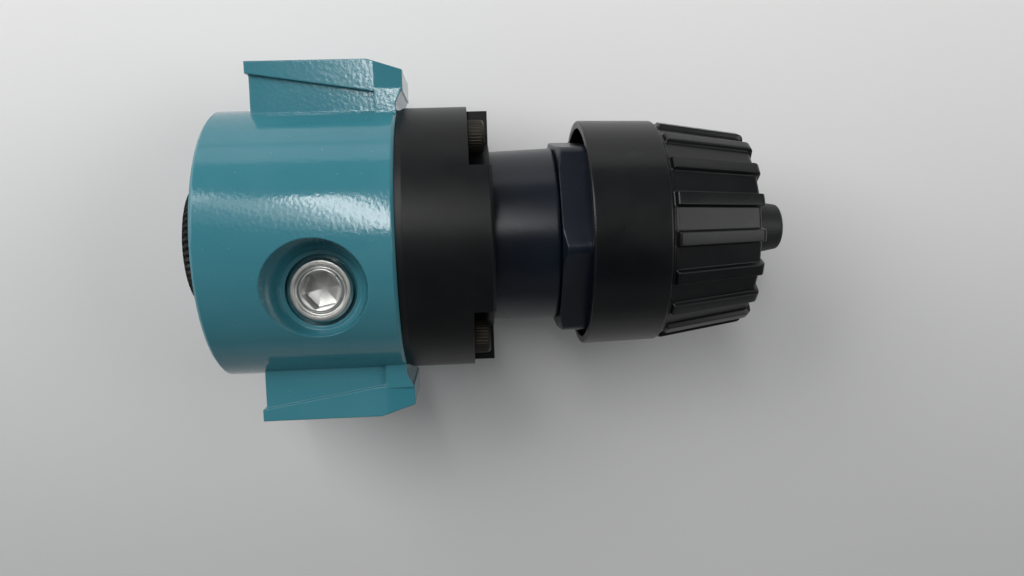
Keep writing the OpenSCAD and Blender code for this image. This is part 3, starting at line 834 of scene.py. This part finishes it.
@dataclass
class PanelNut:
    """Hexagonal nut whose corners are turned down at both faces."""

    height: float = 7.0
    across: float = 40.0
    corner_r: float = 22.69
    bore_r: float = 15.05
    chamfer_h: float = 0.75
    chamfer_w: float = 1.5
    bore_edge: float = 0.4
    turn_deg: float = 127.0

    def build(self) -> bpy.types.Object:
        """The side's radius is the smaller of the hexagon and a cone that falls away towards each face.

        Returns:
            The nut.
        """
        face_r, top, mouth_r = self.corner_r - self.chamfer_w, self.height, self.bore_r + self.bore_edge
        rim = rounded([(0.0, mouth_r, 0.1), (0.0, face_r, 0.1), (self.chamfer_h, self.corner_r, 0.1),
                       (top - self.chamfer_h, self.corner_r, 0.1), (top, face_r, 0.1), (top, mouth_r, 0.1),
                       (top - self.bore_edge, self.bore_r, 0.1), (self.bore_edge, self.bore_r, 0.1)], True)
        section = finer(rim, 4)
        angles = even_angles(240)
        flats = hexagon(angles, self.across, math.radians(self.turn_deg))[None, :]
        radii = np.minimum(section[:, 1:], flats)
        stations = on_columns(section[:, 0], angles)
        return grid_mesh("lock_nut", main_spindle("panel_nut").points(stations, radii, angles), True)


@dataclass
class SocketPlug:
    """Socket plug of the gauge port: chamfered rim, a ring groove, a hexagonal socket and a pipe thread."""

    length: float = 8.5
    head_h: float = 2.0
    rim_r: float = 6.6
    thread_r: float = 5.65
    thread_rows: int = 60
    plain_rows: int = 3
    pitch: float = 1.34
    depth: float = 0.45
    groove_depth: float = 0.4
    socket: float = 7.0
    socket_depth: float = 5.0
    socket_point: float = 0.9
    mouth_rows: int = 10
    turn_deg: float = -18.0

    def profile(self) -> tuple[np.ndarray, int, int]:
        """The plug's profile from the middle of its foot to the middle of its socket.

        Returns:
            Points by 2, the thread's first row and the number of rows that lie in the socket.
        """
        top, head, mouth = self.length, self.length - self.head_h, self.socket / 2
        floor = top - self.socket_depth
        foot = rounded([(0.0, 0.0, 0.0), (0.0, self.thread_r - 0.9, 0.2), (0.9, self.thread_r, 0.2),
                        (head, self.thread_r, 0.05)], False)
        foot = foot[foot[:, 0] < 0.95]
        rows = np.linspace(1.0, head - 0.2, self.thread_rows)
        thread = np.stack([rows, np.full_like(rows, self.thread_r)], -1)
        rim = rounded([(head, self.thread_r, 0.05), (head, self.rim_r, 0.2), (top - 0.45, self.rim_r, 0.15),
                       (top, self.rim_r - 0.5, 0.2), (top, self.rim_r - 1.25, 0.1),
                       (top - self.groove_depth, self.rim_r - 1.55, 0.15),
                       (top - self.groove_depth, self.rim_r - 1.9, 0.15),
                       (top - 0.02, self.rim_r - 2.2, 0.12), (top, mouth + 0.62, 0.05),
                       (top - 0.12, mouth, 0.05), (top - 0.9, mouth, 0.05)], False)
        well = rounded([(top - 0.95, mouth, 0.0), (floor, mouth, 0.1), (floor - self.socket_point, 0.0, 0.0)],
                       False)
        return np.concatenate([foot, thread, rim, well]), len(foot), len(well) + self.mouth_rows

    def build(self) -> bpy.types.Object:
        """Turns the plug about the gauge axis, with circles that become hexagons inside the socket.

        Returns:
            The plug.
        """
        low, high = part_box("gauge_plug")
        profile, first, socket_rows = self.profile()
        angles = even_angles(144)
        in_socket = np.zeros((len(profile), 1))
        in_socket[-socket_rows:] = 1.0
        hexed = hexagon(angles, self.socket, math.radians(self.turn_deg))[None, :] / (self.socket / 2)
        cut = np.zeros((len(profile), 1))
        cut[first + self.plain_rows:first + self.thread_rows - self.plain_rows] = self.depth
        ridge = climb(profile[:, 0], angles, self.pitch)
        radii = profile[:, 1:] * (1 + in_socket * (hexed - 1)) - cut * ridge
        origin = ((low.x + high.x) / 2, (low.y + high.y) / 2, high.z - self.length * MM)
        spindle = Spindle(origin, (0.0, 0.0, 1.0), (1.0, 0.0, 0.0), (0.0, 1.0, 0.0))
        points = spindle.points(on_columns(profile[:, 0], angles), radii, angles)
        return grid_mesh("socket_plug", points, False, poles=True)


@dataclass
class BottomPlug:
    """Bottom plug: coin-edged head with a dished face and a hexagonal socket, and a shank drawn without its
    thread.
    """

    head_r: float = 14.0
    head_len: float = 5.8
    shank_r: float = 9.95
    teeth: int = 60
    tooth_h: float = 0.5
    tooth_columns: int = 6
    dish_r: float = 10.0
    dish_depth: float = 2.0
    socket: float = 8.0
    socket_depth: float = 3.4
    mouth_r: float = 4.3
    mouth_depth: float = 2.4
    guide_r: float = 3.05
    guide_end: float = 5.2

    def build(self) -> bpy.types.Object:
        """Turns the plug. The head's radius falls by tooth_h (1 - cos(teeth a)) / 2 between its edges.

        Returns:
            The plug.
        """
        low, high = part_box("bottom_plug")
        end = (high.x - low.x) / MM
        step, flat_r, mouth_end = self.head_len, self.socket / 2, end - self.mouth_depth
        outer = rounded([(self.socket_depth, 0.0, 0.0), (self.socket_depth, flat_r, 0.05),
                         (self.dish_depth, flat_r, 0.05), (self.dish_depth, self.dish_r - 0.6, 0.5),
                         (0.0, self.dish_r, 0.3), (0.0, self.head_r - 0.8, 0.3), (0.9, self.head_r, 0.2),
                         (step - 0.6, self.head_r, 0.2), (step, self.head_r - 0.6, 0.2),
                         (step, self.shank_r, 0.2), (end - 0.6, self.shank_r, 0.2),
                         (end, self.shank_r - 0.6, 0.2), (end, self.mouth_r, 0.2),
                         (mouth_end, self.mouth_r, 0.1), (mouth_end, self.guide_r, 0.1),
                         (self.guide_end, self.guide_r, 0.1), (self.guide_end, 0.0, 0.0)], False, 4)
        stations, reach = outer[:, 0], outer[:, 1]
        angles = even_angles(self.teeth * self.tooth_columns)
        on_head = ((reach > self.head_r - 0.75) & (stations < step))[:, None]
        in_socket = ((reach < flat_r + 0.06) & (stations < self.socket_depth + 0.2) & (reach > 0.1))[:, None]
        teeth = self.tooth_h * (0.5 - 0.5 * np.cos(self.teeth * angles))[None, :]
        hexed = hexagon(angles, self.socket)[None, :] / flat_r
        radii = outer[:, 1:] * np.where(in_socket, hexed, 1.0) - np.where(on_head, teeth, 0.0)
        points = main_spindle("bottom_plug").points(on_columns(stations, angles), radii, angles)
        return grid_mesh("coin_edged_plug", points, False, poles=True)


@dataclass
class ClampScrews:
    """Four socket-head cap screws with knurled heads."""

    shank_r: float = 2.0
    head_r: float = 3.5
    head_h: float = 3.5
    shank_len: float = 23.8
    socket: float = 3.0
    socket_depth: float = 1.9
    socket_point: float = 0.5
    circle_r: float = 24.49
    angle_deg: float = 30.0
    teeth: int = 36
    tooth_columns: int = 4
    tooth_h: float = 0.12

    def build(self) -> bpy.types.Object:
        """Turns one screw about each of the four axes. The head's side falls by tooth_h |sin(teeth a / 2)|.

        Returns:
            The four screws as one piece.
        """
        axis = main_spindle("clamp_screws")
        top, mouth = self.shank_len + self.head_h, self.socket / 2
        floor = top - self.socket_depth
        profile = rounded([(0.0, 0.0, 0.0), (0.0, self.shank_r - 0.4, 0.15), (0.5, self.shank_r, 0.15),
                           (self.shank_len, self.shank_r, 0.1), (self.shank_len, self.head_r, 0.15),
                           (top - 0.55, self.head_r, 0.15), (top, self.head_r - 0.5, 0.25),
                           (top, mouth + 0.45, 0.1), (top - 0.35, mouth, 0.1), (floor, mouth, 0.1),
                           (floor - self.socket_point, 0.0, 0.0)], False, 4)
        stations, reach = profile[:, 0], profile[:, 1]
        angles = even_angles(self.teeth * self.tooth_columns)
        in_socket = ((stations > floor - 0.1) & (reach < mouth + 0.06))[:, None]
        hexed = hexagon(angles, self.socket)[None, :] / mouth
        side = ((reach > self.head_r - 0.05) & (stations < top - 0.4))[:, None]
        knurl = self.tooth_h * np.abs(np.sin(self.teeth * angles / 2))[None, :]
        radii = profile[:, 1:] * np.where(in_socket, hexed, 1.0) - np.where(side, knurl, 0.0)
        across = self.circle_r * math.cos(math.radians(self.angle_deg)) * MM
        upright = self.circle_r * math.sin(math.radians(self.angle_deg)) * MM
        screws = []
        for side_sign, up_sign in ((-1, -1), (-1, 1), (1, -1), (1, 1)):
            centre = (axis.origin[0], axis.origin[1] + side_sign * across, axis.origin[2] + up_sign * upright)
            points = Spindle(centre).points(on_columns(stations, angles), radii, angles)
            screws.append(grid_mesh("cap_screw", points, False, poles=True))
        return merge("cap_screws", screws)


@dataclass
class PortThread:
    """Bare machined thread that lines one port, cut as a ridge that climbs one pitch a turn."""

    side: int
    bore_r: float = 7.5
    length: float = 15.2
    chamfer: float = 0.75
    pitch: float = 1.34
    depth: float = 0.62
    rows: int = 150

    def build(self) -> bpy.types.Object:
        """The wall stands in from the bore by depth times a flat-topped wave that climbs one pitch a turn.

        Returns:
            The thread.
        """
        low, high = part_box("body")
        edge_y = high.y if self.side > 0 else low.y
        knob_low, knob_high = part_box("knob")
        origin = (0.0, edge_y - self.side * self.chamfer * MM, (knob_low.z + knob_high.z) / 2)
        spindle = Spindle(origin, (0.0, -float(self.side), 0.0), (1.0, 0.0, 0.0), (0.0, 0.0, 1.0))
        stations = np.linspace(0.0, self.length - self.chamfer, self.rows)
        angles = even_angles(96)
        wave = np.clip(1.25 * (1 - climb(stations, angles, self.pitch)) - 0.1, 0.0, 1.0)
        run_in = np.clip(stations, 0.0, 1.0)[:, None]
        inner = self.bore_r - 0.03 - self.depth * wave * run_in
        back = np.full((1, len(angles)), self.bore_r - 0.01)
        radii = np.concatenate([back, inner, back])
        ring_stations = np.concatenate([stations[:1], stations, stations[-1:]])
        name = "outlet_thread" if self.side > 0 else "inlet_thread"
        return grid_mesh(name, spindle.points(on_columns(ring_stations, angles), radii, angles), True)


@dataclass
class Coil:
    """Round wire wound into a spring with closed ends."""

    node: str
    name: str
    wire_r: float
    turns: float
    dead_turns: float = 0.8
    steps_a_turn: int = 48
    wire_sides: int = 16

    def build(self) -> bpy.types.Object:
        """Carries a circle along a helix that climbs evenly between its two closed ends.

        Each closed end climbs by one wire radius, and the turns between them share the rest of the length.

        Returns:
            The spring.
        """
        low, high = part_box(self.node)
        mean_r = (high.y - low.y) / 2 / MM - self.wire_r
        length = (high.x - low.x) / MM
        total = self.turns + 2 * self.dead_turns
        t = np.linspace(0.0, total, int(self.steps_a_turn * total))
        open_len = length - 4 * self.wire_r
        flat = np.minimum(t, self.dead_turns) / self.dead_turns
        flat += np.maximum(t - self.turns - self.dead_turns, 0) / self.dead_turns
        rise = np.clip(t - self.dead_turns, 0, self.turns) / self.turns
        height = self.wire_r * (1 + flat) + open_len * rise
        turn = FULL_TURN * t
        around = even_angles(self.wire_sides)
        radius = mean_r + self.wire_r * np.cos(around)[None, :]
        station = height[:, None] + self.wire_r * np.sin(around)[None, :]
        centre_y, centre_z = (low.y + high.y) / 2, (low.z + high.z) / 2
        points = np.stack([low.x + MM * station, centre_y + MM * radius * np.cos(turn)[:, None],
                           centre_z + MM * radius * np.sin(turn)[:, None]], -1)
        return grid_mesh(self.name, points, False, ends=True)


# ------------ the regulator
@dataclass
class Regulator:
    """All pieces of the regulator: those built here and those that the frame already holds."""

    carried: dict[str, Finish] = field(default_factory=lambda: {
        "body": Finish.COAT, "clamp_ring": Finish.BLACK, "knob_cap": Finish.CAP,
        "bottom_plug_seal": Finish.RUBBER, "gauge_plug_seal": Finish.RUBBER,
        "valve_seat": Finish.BRASS, "valve_seat_seal": Finish.RUBBER, "valve_disc": Finish.BRASS,
        "valve_disc_seal": Finish.RUBBER, "valve_stem": Finish.STEEL, "valve_tail_seal": Finish.RUBBER,
        "aspirator_tube": Finish.BRASS, "diaphragm": Finish.RUBBER, "diaphragm_stud": Finish.BRASS,
        "diaphragm_plate": Finish.PLATE, "spring_nut": Finish.BRASS, "adjusting_screw": Finish.STEEL,
        "thrust_washer": Finish.BRASS, "lock_ring": Finish.STEEL, "knob_washer": Finish.STEEL,
        "knob_screw": Finish.STEEL})

    def dress_carried(self) -> None:
        """Dresses the pieces whose shape comes from the frame."""
        for node, finish in self.carried.items():
            dress(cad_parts[node], finish)
            log.info("%s keeps its mesh and gets %s", node, finish.value.name)

    def place(self, piece: bpy.types.Object, finish: Finish, body: str, slot: str, node: str | None) -> None:
        """Dresses a new piece and ties it to the frame.

        Args:
            piece: the new piece.
            finish: its finish.
            body: the body that it rides on.
            slot: the record's material slot; not used.
            node: the frame's node that it stands for, if any.
        """
        dress(piece, finish)
        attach(piece, body)
        if node is not None:
            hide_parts(node)
        log.info("%s: %d faces, rides on %s", piece.name, len(piece.data.polygons), body)

    def build(self) -> None:
        """Builds and places every new piece."""
        self.place(Knob().build(), Finish.KNOB, "grip", "black_plastic", "knob")
        self.place(SpringCage().build(), Finish.NAVY, "regulator", "navy_plastic", "spring_cage")
        self.place(PanelNut().build(), Finish.NAVY, "regulator", "black_plastic", "panel_nut")
        self.place(SocketPlug().build(), Finish.ZINC, "regulator", "zinc_plate", "gauge_plug")
        self.place(BottomPlug().build(), Finish.BLACK, "regulator", "black_plastic", "bottom_plug")
        self.place(ClampScrews().build(), Finish.OXIDE, "regulator", "black_steel", "clamp_screws")
        for side in (-1, 1):
            self.place(PortThread(side).build(), Finish.BARE, "regulator", "zinc_plate", None)
        coils = ((Coil("regulating_spring", "main_spring", 1.5, 5), "spring_carrier"),
                 (Coil("valve_spring", "valve_coil", 0.6, 3), "valve"))
        for coil, far_body in coils:
            self.place_coil(coil, far_body)

    def place_coil(self, coil: Coil, far_body: str) -> None:
        """Dresses a spring, bakes its placement into its mesh and hides the frame's node that it replaces.

        Args:
            coil: the spring.
            far_body: the body at its high end, which only the log message names.
        """
        spring = coil.build()
        dress(spring, Finish.STEEL)
        low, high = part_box(coil.node)
        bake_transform(spring)
        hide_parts(coil.node)
        log.info("%s: %d faces, shortens towards %s", spring.name, len(spring.data.polygons), far_body)


# ------------ studio
@dataclass(frozen=True)
class Softbox:
    """A rectangular soft light that faces the regulator."""

    name: str
    place: tuple
    size: tuple
    watts: float

    def build(self, target: Vector) -> None:
        """Adds the light.

        Args:
            target: the point that it faces.
        """
        light = bpy.data.lights.new(self.name, "AREA")
        light.shape = "RECTANGLE"
        light.size, light.size_y = self.size
        light.energy = self.watts
        lamp = bpy.data.objects.new(self.name, light)
        lamp.location = self.place
        lamp.rotation_euler = (target - Vector(self.place)).to_track_quat("-Z", "Y").to_euler()
        bpy.context.scene.collection.objects.link(lamp)


@dataclass
class Studio:
    """Pale floor, soft lights, and the camera over the regulator."""

    floor_half: float = 3.0
    floor_colour: tuple = (0.84, 0.835, 0.83, 1.0)
    # The second floor colour is painted shade for the front of the floor.
    floor_painted_shade: tuple = (0.48, 0.48, 0.48, 1.0)
    painted_shade_half: float = 0.11
    world_colour: tuple = (0.80, 0.82, 0.84, 1.0)
    world_strength: float = 0.22
    camera_place: tuple = (0.02907, 0.00455, 0.2202)
    camera_turn_deg: tuple = (-4.842, -3.416, -1.770)
    lens: float = 29.65
    light_target: tuple = (0.035, 0.0, 0.028)
    card_place: tuple = (0.19, -0.20, 0.55)
    card_half: tuple = (0.15, 0.42)
    lights: tuple = (
        Softbox("ceiling_panel", (-0.10, 0.42, 1.0), (0.09, 0.60), 2.5),
        Softbox("ceiling_spill", (-0.19, 0.42, 1.0), (0.09, 0.60), 0.50),
        Softbox("ceiling_glow", (-0.30, 0.42, 1.0), (0.13, 0.60), 0.15),
        Softbox("left_window", (-0.75, 0.55, 0.75), (0.90, 0.60), 9.0),
        Softbox("right_window", (0.80, 0.10, 1.00), (0.70, 0.90), 5.5),
        Softbox("far_wall", (0.0, 2.0, 0.36), (3.00, 0.64), 6.0),
    )

    def add_sheet(self, name: str, middle: tuple, half: tuple, graph: Graph) -> bpy.types.Object:
        """Adds a level rectangle to the set.

        Args:
            name: its name.
            middle: its centre.
            half: half its length along X and along Y.
            graph: its finished material.

        Returns:
            The sheet.
        """
        corners = [(sx * half[0] + middle[0], sy * half[1] + middle[1], middle[2])
                   for sx, sy in ((-1, -1), (1, -1), (1, 1), (-1, 1))]
        mesh = bpy.data.meshes.new(name)
        mesh.from_pydata(corners, [], [(0, 1, 2, 3)])
        mesh.materials.append(graph.material)
        sheet = bpy.data.objects.new(name, mesh)
        bpy.context.scene.collection.objects.link(sheet)
        return sheet

    def add_floor(self) -> None:
        """Adds a pale floor under the flat that the regulator rests on, with painted shade that darkens it
        towards the front.
        """
        graph = Graph("pale_board")
        # Painted shade: the floor colour darkens from the back towards the front.
        away = graph.along("Y").window(-self.painted_shade_half, self.painted_shade_half)
        mottle = graph.noise(60.0, 3.0, 0.5)
        colour = graph.blend(away, self.floor_painted_shade, self.floor_colour)
        colour = graph.blend(mottle * 0.04, colour, grey(0.4))
        graph.finish(Base_Color=colour, Roughness=0.6)
        self.add_sheet("floor", (0.0, 0.0, cad_box[0][2]), (self.floor_half, self.floor_half), graph)

    def add_card(self) -> None:
        """Adds a dark card over the front, which keeps bright reflections off the near side of the knob."""
        graph = Graph("dark_card")
        graph.finish(Base_Color=grey(0.01), Roughness=0.9)
        card = self.add_sheet("dark_card", self.card_place, self.card_half, graph)
        card.visible_camera = False

    def add_world(self) -> None:
        """Lights everything evenly with a pale grey sky."""
        world = bpy.data.worlds.new("soft_sky")
        world.use_nodes = True
        sky = world.node_tree.nodes["Background"]
        sky.inputs["Color"].default_value = self.world_colour
        sky.inputs["Strength"].default_value = self.world_strength
        bpy.context.scene.world = world
        bpy.context.scene.view_settings.view_transform = "Standard"

    def add_camera(self) -> None:
        """Adds the camera and makes it the scene's own."""
        lens = bpy.data.cameras.new("camera")
        lens.lens = self.lens
        lens.sensor_width = 36.0
        lens.clip_start = 0.01
        camera = bpy.data.objects.new("camera", lens)
        camera.location = self.camera_place
        camera.rotation_euler = Euler([math.radians(v) for v in self.camera_turn_deg])
        bpy.context.scene.collection.objects.link(camera)
        bpy.context.scene.camera = camera

    def build(self) -> None:
        """Builds the studio."""
        self.add_floor()
        self.add_card()
        self.add_world()
        self.add_camera()
        for light in self.lights:
            light.build(Vector(self.light_target))


def main() -> None:
    """Builds the studio and the regulator."""
    logging.basicConfig(level=logging.INFO, format="%(message)s")
    Studio().build()
    regulator = Regulator()
    regulator.dress_carried()
    regulator.build()


if __name__ == "__main__":
    main()
